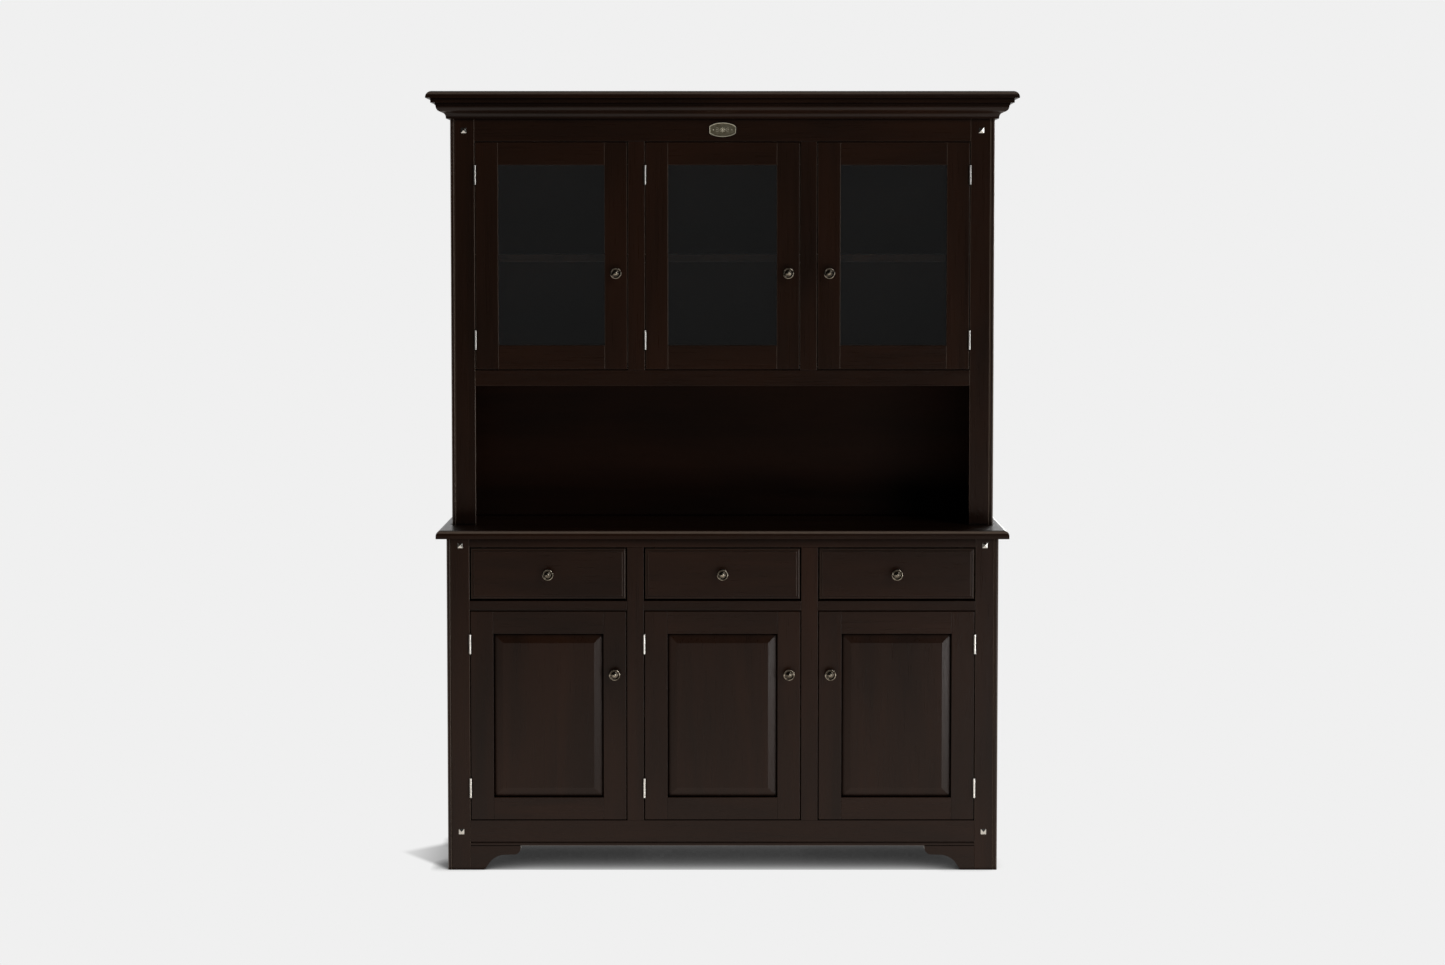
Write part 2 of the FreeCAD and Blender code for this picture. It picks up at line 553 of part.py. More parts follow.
def door(name, bay, hang, hutch):
    """One door: frame, filling, knob and hinges, with its fixed leaves and catch on the carcass."""
    if hutch:
        face, low, high, top_rail_size, low_rail_size = (HUTCH_FACE, "ledge_high", "frieze_low",
                                                         "glass_rail", "glass_low_rail")
        hinge_heights, knob_z = ("hutch_hinge_low", "hutch_hinge_high"), "hutch_knob_z"
    else:
        face, low, high, top_rail_size, low_rail_size = (FACE, "skirt_high", "divider_low",
                                                         "door_rail", "door_rail")
        hinge_heights, knob_z = ("base_hinge_low", "base_hinge_high"), "base_knob_z"
    middle, opening = bay_span(bay, hutch)
    width, bottom, height = f"({opening} - 2 * gap)", f"({low} + gap)", f"({high} - {low} - 2 * gap)"
    inside_w = f"({width} - 2 * door_stile)"
    inside_low = f"({bottom} + {low_rail_size})"
    inside_h = f"({height} - {low_rail_size} - {top_rail_size})"
    pocket_w, pocket_h = f"({inside_w} + 2 * groove)", f"({inside_h} + 2 * groove)"
    pocket_low = f"({inside_low} - groove)"
    if hutch:
        front, depth = f"({face} + glass_setback)", "(leaf_thick - glass_setback)"
    else:
        front, depth = f"({face} + panel_setback + panel_rise)", "tongue"
    pocket = block(middle, pocket_w, front, depth, pocket_low, pocket_h)
    frame = []
    for side in (-1, 1):
        stile_x = f"{middle} + {side} * ({width} - door_stile) / 2"
        frame.append(door_board(stile_x, "door_stile", face, bottom, height, pocket))
    frame.append(door_board(middle, inside_w, face, bottom, low_rail_size, pocket))
    frame.append(door_board(middle, inside_w, face, f"{inside_low} + {inside_h}", top_rail_size, pocket))
    fill_w, fill_h = f"({pocket_w} - 2 * slip)", f"({pocket_h} - 2 * slip)"
    if hutch:
        node(f"{name}_glass", block(middle, fill_w, front, "glass_thick", f"{pocket_low} + slip", fill_h))
        bead_y, bead_depth = f"{front} + glass_thick", "leaf_thick - glass_setback - glass_thick"
        for side in (-1, 1):
            bead_x = f"{middle} + {side} * ({pocket_w} - bead_width) / 2"
            frame.append(block(bead_x, "bead_width", bead_y, bead_depth, pocket_low, pocket_h))
        for bead_z in (pocket_low, f"{pocket_low} + {pocket_h} - bead_width"):
            frame.append(block(middle, f"{pocket_w} - 2 * bead_width", bead_y, bead_depth, bead_z,
                               "bead_width"))
    else:
        slab = block(middle, fill_w, front, "tongue", f"{pocket_low} + slip", fill_h)
        field = frustum(middle, front, f"{inside_low} + {inside_h} / 2", inside_w, inside_h,
                        "panel_rise", "panel_bevel", "0")
        node(f"{name}_panel", fuse(slab, field))
    node(f"{name}_frame", *frame)
    knob(f"{name}_knob", f"{middle} - {hang} * ({width} - door_stile) / 2", face, knob_z)
    edge = f"({middle} + {hang} * {opening} / 2)"
    leaves = []
    for z_mid in hinge_heights:
        axis_y = f"({face} - barrel_off)"
        fixed_leaves.append(hinge_leaf(hang, edge, axis_y, z_mid, True))
        leaves.append(hinge_leaf(hang, edge, axis_y, z_mid, False))
    node(f"{name}_hinge_leaves", *leaves)
    # The catch sits on the partition beside the door's free edge.
    beside = f"({middle} - {hang} * ({opening} + mid_width - deck_thick) / 2 + {hang} * catch_wide / 2)"
    catches.append(block(beside, "catch_wide", f"{face} + frame_thick", "catch_deep",
                         f"{high} - catch_down", "catch_high"))


for name, bay in BAYS.items():
    door(f"base_door_{name}", bay, HANGS[name], False)
for name, bay in BAYS.items():
    door(f"hutch_door_{name}", bay, HANGS[name], True)
node("hinge_post_leaves", *fixed_leaves)
node("door_catches", *catches)


# ------------------------------------------------------------------ drawers
def drawer(name, bay):
    """One drawer: a lipped front, a box of four boards and a knob."""
    middle, opening = bay_span(bay)
    width, low = f"({opening} - 2 * gap)", "(divider_high + gap)"
    high = "(top_rail_low - divider_high - 2 * gap)"
    panel = block(middle, width, f"{FACE} + lip_step", "leaf_thick - lip_step", low, high)
    field = block(middle, f"{width} - 2 * lip_width", FACE, "leaf_thick", f"{low} + lip_width",
                  f"{high} - 2 * lip_width")
    node(f"{name}_front", fuse(rounded(panel, SIZES["lip_round"], at_front),
                               rounded(field, SIZES["field_round"], at_front)))
    box_y, box_low = f"({FACE} + leaf_thick)", "(divider_high + slip)"
    box_w = f"({width} - 2)"
    inner_w = f"({box_w} - 2 * drawer_board)"
    boards = [block(f"{middle} + {side} * ({box_w} - drawer_board) / 2", "drawer_board", box_y,
                    "drawer_length", box_low, "drawer_height") for side in (-1, 1)]
    boards.append(block(middle, inner_w, f"{box_y} + drawer_length - drawer_board", "drawer_board",
                        box_low, "drawer_height"))
    boards.append(block(middle, inner_w, box_y, "drawer_length - drawer_board",
                        f"{box_low} + bottom_up", "bottom_thick"))
    node(f"{name}_box", *boards)
    knob(f"{name}_knob", middle, FACE, f"{low} + {high} / 2")


for name, bay in BAYS.items():
    drawer(f"drawer_{name}", bay)

# ------------------------------------------------------------------ check and write
doc.recompute()
for item in doc.Objects:
    if "Invalid" in item.State or "Error" in item.State:
        raise RuntimeError(f"{item.Name} ({item.Label}) failed: {item.State}")
for item in nodes:
    if item.Shape.isNull() or not item.Shape.isValid():
        raise RuntimeError(f"{item.Label} has no valid shape")
os.makedirs("parts", exist_ok=True)
for item in nodes:
    item.Shape.exportStep(f"parts/{item.Label}.step")
    solids = item.Shape.Solids
    print(item.Label, len(solids), "solids", round(sum(solid.Volume for solid in solids) / 1000), "cm3")
print(len(nodes), "nodes")
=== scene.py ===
"""China cabinet with glass doors: a dark stained sideboard and a glazed hutch with a moulded cornice."""
import math

import bpy
import bmesh
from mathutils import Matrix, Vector


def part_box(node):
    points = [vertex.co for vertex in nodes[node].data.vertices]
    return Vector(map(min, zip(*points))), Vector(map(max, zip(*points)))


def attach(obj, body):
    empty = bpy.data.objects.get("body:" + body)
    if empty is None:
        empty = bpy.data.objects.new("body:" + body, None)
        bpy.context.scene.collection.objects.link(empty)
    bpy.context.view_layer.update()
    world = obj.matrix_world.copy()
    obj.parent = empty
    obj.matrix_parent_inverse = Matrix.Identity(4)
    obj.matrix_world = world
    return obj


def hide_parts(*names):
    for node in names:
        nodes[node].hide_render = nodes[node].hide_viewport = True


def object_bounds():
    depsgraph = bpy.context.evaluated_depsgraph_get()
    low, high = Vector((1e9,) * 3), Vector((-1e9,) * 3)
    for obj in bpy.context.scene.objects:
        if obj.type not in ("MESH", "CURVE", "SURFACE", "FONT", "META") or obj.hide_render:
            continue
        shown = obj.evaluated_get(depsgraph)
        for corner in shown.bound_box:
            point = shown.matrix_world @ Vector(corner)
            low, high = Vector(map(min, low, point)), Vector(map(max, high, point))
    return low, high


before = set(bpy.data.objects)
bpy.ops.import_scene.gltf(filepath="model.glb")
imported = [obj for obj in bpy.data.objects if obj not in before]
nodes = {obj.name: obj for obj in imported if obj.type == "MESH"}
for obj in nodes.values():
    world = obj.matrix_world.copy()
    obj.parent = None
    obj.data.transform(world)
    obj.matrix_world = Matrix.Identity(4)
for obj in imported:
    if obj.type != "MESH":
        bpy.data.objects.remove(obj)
cad_low, cad_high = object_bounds()

# --------------------------------------------------------------------------- view, floor and light
# The cabinet stands on an evenly pale floor with painted shade under the carcass and a short
# painted cast shadow on its left. The light comes from the front right: a soft key, a tall softbox
# and a low strip. A strip stands on each flank and a softbox behind, and the rest of the room is dark.
EYE_DISTANCE = 8.27
EYE_HEIGHT = 1.666
LOOK_DOWN = 3.69
DROP = -0.028
LENS = 79.15
SENSOR = 36
BACKDROP = 0.871

worktop_low, worktop_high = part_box("worktop")
eye_data = bpy.data.cameras.new("eye")
eye_data.lens = LENS
eye_data.sensor_width = SENSOR
eye_data.shift_y = DROP
eye = bpy.data.objects.new("eye", eye_data)
eye.location = (0, worktop_low.y - EYE_DISTANCE, EYE_HEIGHT)
eye.rotation_euler = (math.radians(90 - LOOK_DOWN), 0, 0)
bpy.context.scene.collection.objects.link(eye)
bpy.context.scene.camera = eye
bpy.context.scene.view_settings.view_transform = "Standard"


def add(tree, kind, links=(), **values):
    """A node with values on its sockets or fields, linked from (output, input) pairs."""
    made = tree.nodes.new(kind)
    for key, value in values.items():
        if hasattr(made, key):
            setattr(made, key, value)
        else:
            made.inputs[key.replace("_", " ")].default_value = value
    for source, target in links:
        tree.links.new(source, made.inputs[target])
    return made


def math_node(tree, operation, *values):
    """A Math node on its values, each a socket or a number."""
    made = tree.nodes.new("ShaderNodeMath")
    made.operation = operation
    for place, value in enumerate(values):
        if isinstance(value, (int, float)):
            made.inputs[place].default_value = value
        else:
            tree.links.new(value, made.inputs[place])
    return made.outputs[0]


FLOOR_SIZE = 24
BOUNCE = 1.0
BOUNCE_FULL = 2.7
BOUNCE_GONE = 7.7
WARM_BOUNCE = (1.0, 0.93, 0.86, 1)
FOOTPRINT = 0.724
TOP_LIP = 0.024
UNDER_REACH = 0.5
NEAR_REACH = 0.05
NEAR_DEPTH = 1.3
NEAR_LEAN = (0.75, -0.55, 0.37)
CAST_DEPTH = 0.42
CAST_SPREAD = 0.60
CAST_CLOSE = 0.90
CAST_REACH = 0.19
CAST_SHADE = 0.62
bpy.ops.object.select_all(action="DESELECT")
bpy.ops.mesh.primitive_plane_add(size=FLOOR_SIZE, location=(0, 0, cad_low.z))
floor = bpy.context.object
floor.name = "studio_floor"
floor_paint = bpy.data.materials.new("pale_floor")
floor_paint.use_nodes = True
tree = floor_paint.node_tree
paint = tree.nodes["Principled BSDF"]
paint.inputs["Base Color"].default_value = (0, 0, 0, 1)
paint.inputs["Roughness"].default_value = 1.0
paint.inputs["Specular IOR Level"].default_value = 0.0
spot = add(tree, "ShaderNodeTexCoord")
spot_axes = add(tree, "ShaderNodeSeparateXYZ", [(spot.outputs["Object"], 0)])
spot_x, spot_y = spot_axes.outputs["X"], spot_axes.outputs["Y"]
front_y = worktop_low.y + TOP_LIP


def soft_step(tree, value, low, high):
    """0 below low and 1 above high, rounded at both ends."""
    made = add(tree, "ShaderNodeMapRange", [(value, "Value")], From_Min=low, From_Max=high,
               interpolation_type="SMOOTHSTEP")
    return made.outputs["Result"]


# Under the carcass the floor's glow is painted darker by how little of the room it sees.
inside_x = math_node(tree, "LESS_THAN", math_node(tree, "ABSOLUTE", spot_x), FOOTPRINT)
inside_y = math_node(tree, "MULTIPLY", math_node(tree, "GREATER_THAN", spot_y, front_y),
                     math_node(tree, "LESS_THAN", spot_y, cad_high.y))
beneath = math_node(tree, "MULTIPLY", inside_x, inside_y)
covered = add(tree, "ShaderNodeAmbientOcclusion", samples=32, Distance=UNDER_REACH)
hidden = math_node(tree, "MULTIPLY", beneath, math_node(tree, "SUBTRACT", 1, covered.outputs["AO"]))
cover = math_node(tree, "SUBTRACT", 1, hidden)

# Where the feet stand a narrow line of painted contact shade leans to the left.
lean = add(tree, "ShaderNodeCombineXYZ", X=NEAR_LEAN[0], Y=NEAR_LEAN[1], Z=NEAR_LEAN[2])
beside = add(tree, "ShaderNodeAmbientOcclusion", [(lean.outputs[0], "Normal")], samples=12,
             Distance=NEAR_REACH)
contact = math_node(tree, "MULTIPLY", cover, math_node(tree, "POWER", beside.outputs["AO"], NEAR_DEPTH))

# The painted cast shadow is a wedge drawn from the front left corner, widest halfway back and fading
# outwards.
left_of = math_node(tree, "SUBTRACT", math_node(tree, "MULTIPLY", spot_x, -1), FOOTPRINT)
behind = math_node(tree, "SUBTRACT", spot_y, front_y)
from_rear = math_node(tree, "SUBTRACT", CAST_DEPTH, behind)
near_line = math_node(tree, "SUBTRACT", math_node(tree, "MULTIPLY", behind, CAST_SPREAD), left_of)
far_line = math_node(tree, "SUBTRACT", math_node(tree, "MULTIPLY", from_rear, CAST_CLOSE), left_of)
wedge = math_node(tree, "MULTIPLY", soft_step(tree, near_line, -0.012, 0.02),
                  soft_step(tree, far_line, -0.02, 0.05))
faint = add(tree, "ShaderNodeMapRange", [(left_of, "Value")], From_Min=CAST_REACH, From_Max=0.0,
            To_Min=0.0, To_Max=CAST_SHADE)
cast = math_node(tree, "MULTIPLY", wedge, faint.outputs["Result"])
cast_left = math_node(tree, "MULTIPLY", cast, math_node(tree, "GREATER_THAN", left_of, 0))
shade = math_node(tree, "MULTIPLY", contact, math_node(tree, "SUBTRACT", 1, cast_left))
looked_at = math_node(tree, "MULTIPLY", shade, BACKDROP)

# The camera sees that shade. The cabinet is lit by a warm bounce that fades far from it.
away = add(tree, "ShaderNodeVectorMath", [(spot.outputs["Object"], 0)], operation="LENGTH")
faded = add(tree, "ShaderNodeMapRange", [(away.outputs["Value"], "Value")], From_Min=BOUNCE_GONE,
            From_Max=BOUNCE_FULL, To_Min=0.0, To_Max=BOUNCE, interpolation_type="SMOOTHSTEP")
ray = add(tree, "ShaderNodeLightPath")
power = add(tree, "ShaderNodeMix", [(ray.outputs["Is Camera Ray"], "Factor"), (faded.outputs[0], 2),
                                    (looked_at, 3)])
tree.links.new(power.outputs[0], paint.inputs["Emission Strength"])
warmth = add(tree, "ShaderNodeMix", [(ray.outputs["Is Camera Ray"], "Factor")], data_type="RGBA")
warmth.inputs[6].default_value = WARM_BOUNCE
warmth.inputs[7].default_value = (1, 1, 1, 1)
tree.links.new(warmth.outputs[2], paint.inputs["Emission Color"])
floor.data.materials.append(floor_paint)

AHEAD_GLOW = 0.135
FRONT_GLOW = 0.02
REAR_GLOW = 0.95
TOP_GLOW = 0.06
studio = bpy.data.worlds.new("studio")
bpy.context.scene.world = studio
studio.use_nodes = True
tree = studio.node_tree
tree.nodes.clear()
seen = add(tree, "ShaderNodeBackground", Color=(BACKDROP, BACKDROP, BACKDROP, 1))
direction = add(tree, "ShaderNodeTexCoord")
split = add(tree, "ShaderNodeSeparateXYZ", [(direction.outputs["Generated"], 0)])
rearward = add(tree, "ShaderNodeMapRange", [(split.outputs["Y"], "Value")], From_Min=0.0, From_Max=0.6,
               To_Min=FRONT_GLOW, To_Max=REAR_GLOW, interpolation_type="SMOOTHSTEP")
upward = add(tree, "ShaderNodeMapRange", [(split.outputs["Z"], "Value")], From_Min=0.15, From_Max=0.9,
             To_Min=0.0, To_Max=TOP_GLOW, interpolation_type="SMOOTHSTEP")
ahead = add(tree, "ShaderNodeMapRange", [(split.outputs["Y"], "Value")], From_Min=-0.97, From_Max=-0.99,
            To_Min=0.0, To_Max=AHEAD_GLOW, interpolation_type="SMOOTHSTEP")
strength = math_node(tree, "MAXIMUM", math_node(tree, "MAXIMUM", rearward.outputs[0], upward.outputs[0]),
                     ahead.outputs[0])
glow = add(tree, "ShaderNodeBackground", [(strength, "Strength")])
ray = add(tree, "ShaderNodeLightPath")
picked = add(tree, "ShaderNodeMixShader", [(ray.outputs["Is Camera Ray"], "Fac"), (glow.outputs[0], 1),
                                           (seen.outputs[0], 2)])
add(tree, "ShaderNodeOutputWorld", [(picked.outputs[0], "Surface")])


def aimed(name, kind, place, target, energy, size, size_y=None, glossy=True):
    """A lamp that looks from its place at a target, unseen itself."""
    data = bpy.data.lights.new(name, kind)
    data.energy = energy
    if kind == "SUN":
        data.angle = size
    else:
        data.size = size
        if size_y:
            data.shape = "RECTANGLE"
            data.size_y = size_y
    lamp = bpy.data.objects.new(name, data)
    lamp.location = place
    lamp.rotation_euler = (Vector(target) - Vector(place)).to_track_quat("-Z", "Y").to_euler()
    lamp.visible_camera = False
    lamp.visible_glossy = glossy
    bpy.context.scene.collection.objects.link(lamp)


aimed("key", "SUN", (2.6, -3.4, 3.6), (0, 0, 1.0), 0.9, math.radians(25))
aimed("right_softbox", "AREA", (5.2, -5.9, 0.7), (0, 0, 0.7), 60, 1.7, 2.4)
aimed("low_strip", "AREA", (2.1, -2.6, 0.22), (0, 0, 0.22), 13, 1.5, 0.4)
aimed("right_strip", "AREA", (4.5, -0.6, 1.2), (0, 0, 1.0), 30, 0.8, 2.6)
aimed("left_strip", "AREA", (-4.5, 0.7, 1.2), (0, 0, 1.0), 40, 0.6, 2.6)
aimed("rear_fill", "AREA", (2.8, 5.2, 2.4), (0, 0, 1.0), 150, 2.5, 2.5)
aimed("low_fill", "AREA", (0.3, -2.8, 0.3), (0, 0, 0.3), 22, 2.4, 0.4, glossy=False)

# --------------------------------------------------------------------------- stained wood
# The show wood is a close-grained hardwood stained black-brown, with red left in the figure, under
# a satin lacquer. A lighter colour on the arrises is a painted highlight that also stands for stain
# rubbed thin, most on edges that face up. The creases and gaps carry painted shade.
DARK_STAIN = (0.0038, 0.0015, 0.0005, 1)
RED_STAIN = (0.0180, 0.0060, 0.0022, 1)
# Darker copies of the stain, painted shade for the back panel inside the hutch's niche.
NICHE_SHADE_DARK = (0.0025, 0.0010, 0.0004, 1)
NICHE_SHADE_RED = (0.0130, 0.0042, 0.0016, 1)
# Lighter brown for the painted arris highlight, which also stands for stain rubbed thin.
ARRIS_HIGHLIGHT_AND_WORN_STAIN = (0.135, 0.100, 0.078, 1)
# Near black for the painted shade in the creases and gaps.
CREASE_PAINTED_SHADE = (0.0010, 0.0005, 0.0003, 1)
CREASE_REACH = 0.012
PALE_DARK = (0.105, 0.062, 0.036, 1)
PALE_LIGHT = (0.190, 0.120, 0.072, 1)


def shader_group(name, inputs, outputs):
    """An empty node group with named sockets, and its two end nodes."""
    group = bpy.data.node_groups.new(name, "ShaderNodeTree")
    for label, kind, value in inputs:
        socket = group.interface.new_socket(name=label, in_out="INPUT", socket_type=kind)
        if value is not None:
            socket.default_value = value
    for label, kind in outputs:
        group.interface.new_socket(name=label, in_out="OUTPUT", socket_type=kind)
    return group, group.nodes.new("NodeGroupInput"), group.nodes.new("NodeGroupOutput")


def mix_colour(tree, factor, first, second):
    """A colour between two, each a socket or a colour."""
    made = tree.nodes.new("ShaderNodeMix")
    made.data_type = "RGBA"
    tree.links.new(factor, made.inputs["Factor"])
    for socket, value in ((made.inputs[6], first), (made.inputs[7], second)):
        if isinstance(value, tuple):
            socket.default_value = value
        else:
            tree.links.new(value, socket)
    return made.outputs[2]


def wood_grain_group():
    """Long figure, fine fibres and short pores along the point's X, a painted arris highlight that also
    stands for worn stain, and painted shade in the creases.
    """
    group, start, end = shader_group(
        "wood_grain",
        [("Point", "NodeSocketVector", None), ("Dark", "NodeSocketColor", DARK_STAIN),
         ("Light", "NodeSocketColor", RED_STAIN), ("Sheen", "NodeSocketFloat", 0.3),
         ("Pores", "NodeSocketFloat", 0.5), ("Highlight and wear", "NodeSocketFloat", 1.0),
         ("Level", "NodeSocketFloat", 0.2), ("Reach", "NodeSocketFloat", CREASE_REACH)],
        [("Color", "NodeSocketColor"), ("Roughness", "NodeSocketFloat"), ("Height", "NodeSocketFloat"),
         ("Crease shade", "NodeSocketFloat")])
    point = start.outputs["Point"]

    def noise(along, across, detail, distortion):
        scaled = group.nodes.new("ShaderNodeVectorMath")
        scaled.operation = "MULTIPLY"
        group.links.new(point, scaled.inputs[0])
        scaled.inputs[1].default_value = (along, across, across)
        made = add(group, "ShaderNodeTexNoise", [(scaled.outputs[0], "Vector")], Scale=1.0,
                   Detail=detail, Distortion=distortion)
        return made.outputs["Fac"]

    figure = noise(1.1, 11, 3.0, 0.9)
    patch = noise(2.3, 4.5, 2.0, 0.3)
    fibre = noise(9, 420, 3.0, 0.1)
    pore = noise(45, 1500, 1.0, 0.0)
    ribbon = math_node(group, "MULTIPLY_ADD", figure, 1.7, -0.35)
    tone = math_node(group, "ADD", math_node(group, "MULTIPLY", ribbon, 0.55),
                     math_node(group, "MULTIPLY", fibre, 0.35))
    cloudy = math_node(group, "MULTIPLY", math_node(group, "SUBTRACT", patch, 0.5), 0.7)
    tone = math_node(group, "ADD", tone, cloudy)
    tone.node.use_clamp = True
    colour = mix_colour(group, tone, start.outputs["Dark"], start.outputs["Light"])
    pitted = add(group, "ShaderNodeMapRange", [(pore, "Value")], From_Min=0.60, From_Max=0.72)
    pit = math_node(group, "MULTIPLY", pitted.outputs["Result"], start.outputs["Pores"])
    shaded = add(group, "ShaderNodeMix", [(pit, "Factor"), (colour, 6), (start.outputs["Dark"], 7)],
                 data_type="RGBA")
    rough = math_node(group, "ADD", start.outputs["Sheen"],
                      math_node(group, "MULTIPLY", math_node(group, "SUBTRACT", fibre, 0.5), 0.16))
    rough = math_node(group, "ADD", rough, math_node(group, "MULTIPLY", pit, 0.2))
    height = math_node(group, "SUBTRACT", math_node(group, "MULTIPLY", fibre, 0.35), pit)
    # The arrises turn towards the lighter colour. This is a painted highlight, strongest on edges that
    # face up, and it also stands for stain rubbed thin.
    facing = group.nodes.new("ShaderNodeTexCoord")
    turned = add(group, "ShaderNodeVectorMath", [(facing.outputs["Normal"], 0)], operation="ABSOLUTE")
    parts = add(group, "ShaderNodeSeparateXYZ", [(turned.outputs[0], 0)])
    steepest = math_node(group, "MAXIMUM", parts.outputs["X"],
                         math_node(group, "MAXIMUM", parts.outputs["Y"], parts.outputs["Z"]))
    arris = add(group, "ShaderNodeMapRange", [(steepest, "Value")], From_Min=0.92, From_Max=0.84)
    raised = add(group, "ShaderNodeSeparateXYZ", [(facing.outputs["Normal"], 0)])
    upward_highlight = math_node(group, "MULTIPLY", math_node(group, "GREATER_THAN", raised.outputs["Z"], 0.2),
                       start.outputs["Level"])
    upright = add(group, "ShaderNodeMapRange", [(parts.outputs["Z"], "Value"), (upward_highlight, "To Max")],
                  From_Min=0.2, From_Max=0.45, To_Min=1.0)
    highlight_and_wear = math_node(group, "MULTIPLY", math_node(group, "MULTIPLY", arris.outputs["Result"],
                     upright.outputs["Result"]), start.outputs["Highlight and wear"])
    # Ambient occlusion blends the creases and gaps towards near black, as painted shade.
    open_air = add(group, "ShaderNodeAmbientOcclusion", [(start.outputs["Reach"], "Distance")],
                   samples=6)
    crease_shade = add(group, "ShaderNodeMapRange", [(open_air.outputs["AO"], "Value")], From_Min=0.85,
                 From_Max=0.45)
    crease_shaded = mix_colour(group, crease_shade.outputs["Result"], shaded.outputs[2], CREASE_PAINTED_SHADE)
    dulled = math_node(group, "ADD", rough, math_node(group, "MULTIPLY", crease_shade.outputs["Result"], 0.5))
    group.links.new(mix_colour(group, highlight_and_wear, crease_shaded, ARRIS_HIGHLIGHT_AND_WORN_STAIN), end.inputs["Color"])
    group.links.new(dulled, end.inputs["Roughness"])
    group.links.new(height, end.inputs["Height"])
    group.links.new(crease_shade.outputs["Result"], end.inputs["Crease shade"])
    return group


WOOD_GRAIN = wood_grain_group()
TURN_TO_X = {"x": (0, 0, 0), "y": (0, 0, math.radians(-90)), "z": (0, math.radians(90), 0)}
BOARD_SHIFT = 1.37
finish_count = 0


def turned_point(tree, axis, shift):
    """Object coordinates turned so that the grain runs along their X, shifted to a fresh board."""
    place = add(tree, "ShaderNodeTexCoord")
    turned = add(tree, "ShaderNodeMapping", [(place.outputs["Object"], "Vector")])
    turned.inputs["Rotation"].default_value = TURN_TO_X[axis]
    turned.inputs["Location"].default_value = (shift, 0.61 * shift, 0.23 * shift)
    return turned.outputs[0]


# rubbed sets the painted arris highlight, which also stands for worn stain. level sets how much of it the
# edges that face up get, and reach sets how far the painted crease shade spreads.
def wood(name, grain, dark=DARK_STAIN, light=RED_STAIN, sheen=0.30, pores=0.5, bump=0.00012,
         gloss=0.2, rubbed=1.0, level=0.2, reach=CREASE_REACH, other=None, mask=None):
    """A wood finish. Where mask(tree) is 1 the grain runs along other instead of grain."""
    global finish_count
    finish_count += 1
    made = bpy.data.materials.new(name)
    made.use_nodes = True
    tree = made.node_tree
    shader = tree.nodes["Principled BSDF"]
    point = turned_point(tree, grain, BOARD_SHIFT * finish_count)
    if other:
        second = turned_point(tree, other, BOARD_SHIFT * finish_count + 0.7)
        chosen = add(tree, "ShaderNodeMix", [(mask(tree), "Factor"), (point, 4), (second, 5)],
                     data_type="VECTOR")
        point = chosen.outputs[1]
    grains = tree.nodes.new("ShaderNodeGroup")
    grains.node_tree = WOOD_GRAIN
    tree.links.new(point, grains.inputs["Point"])
    grains.inputs["Dark"].default_value = dark
    grains.inputs["Light"].default_value = light
    grains.inputs["Sheen"].default_value = sheen
    grains.inputs["Pores"].default_value = pores
    grains.inputs["Highlight and wear"].default_value = rubbed
    grains.inputs["Level"].default_value = level
    grains.inputs["Reach"].default_value = reach
    raised = add(tree, "ShaderNodeBump", [(grains.outputs["Height"], "Height")], Strength=0.6,
                 Distance=bump)
    tree.links.new(grains.outputs["Color"], shader.inputs["Base Color"])
    tree.links.new(grains.outputs["Roughness"], shader.inputs["Roughness"])
    # The painted crease shade also drives Metallic, which darkens it further over the near-black colour.
    tree.links.new(grains.outputs["Crease shade"], shader.inputs["Metallic"])
    tree.links.new(raised.outputs[0], shader.inputs["Normal"])
    shader.inputs["Specular IOR Level"].default_value = gloss
    return made


def finish(node_name, material):
    """Put a finish on a CAD part."""
    part = nodes[node_name]
    for slot in part.material_slots:
        slot.material = material


def band_group():
    """A mask that is 1 where a value lies between two others."""
    group, start, end = shader_group(
        "band", [("Value", "NodeSocketFloat", 0.0), ("Low", "NodeSocketFloat", 0.0),
                 ("High", "NodeSocketFloat", 1.0)], [("Mask", "NodeSocketFloat")])
    above = math_node(group, "GREATER_THAN", start.outputs["Value"], start.outputs["Low"])
    below = math_node(group, "LESS_THAN", start.outputs["Value"], start.outputs["High"])
    group.links.new(math_node(group, "MULTIPLY", above, below), end.inputs["Mask"])
    return group


BAND = band_group()


def between(tree, axis, low, high):
    """A mask that is 1 between two places along an axis, in metres."""
    place = add(tree, "ShaderNodeTexCoord")
    split = add(tree, "ShaderNodeSeparateXYZ", [(place.outputs["Object"], 0)])
    band = tree.nodes.new("ShaderNodeGroup")
    band.node_tree = BAND
    tree.links.new(split.outputs[axis], band.inputs["Value"])
    band.inputs["Low"].default_value = low
    band.inputs["High"].default_value = high
    return band.outputs["Mask"]


# --------------------------------------------------------------------------- carcass boards
# The posts, mid stiles and side panels run upright; rails, skirt, worktop and cap run level. Each
# has its own stretch of grain. The hutch carries more of the painted arris highlight and worn stain
# than the sideboard, and the worktop most.
# Strengths of the painted arris highlight, which also stands for stain rubbed thin.
HIGHLIGHT_AND_WEAR_BASE = 0.08
HIGHLIGHT_AND_WEAR_POSTS = 0.35
HIGHLIGHT_AND_WEAR_HUTCH = 0.6
HIGHLIGHT_AND_WEAR_TOPS = 0.7
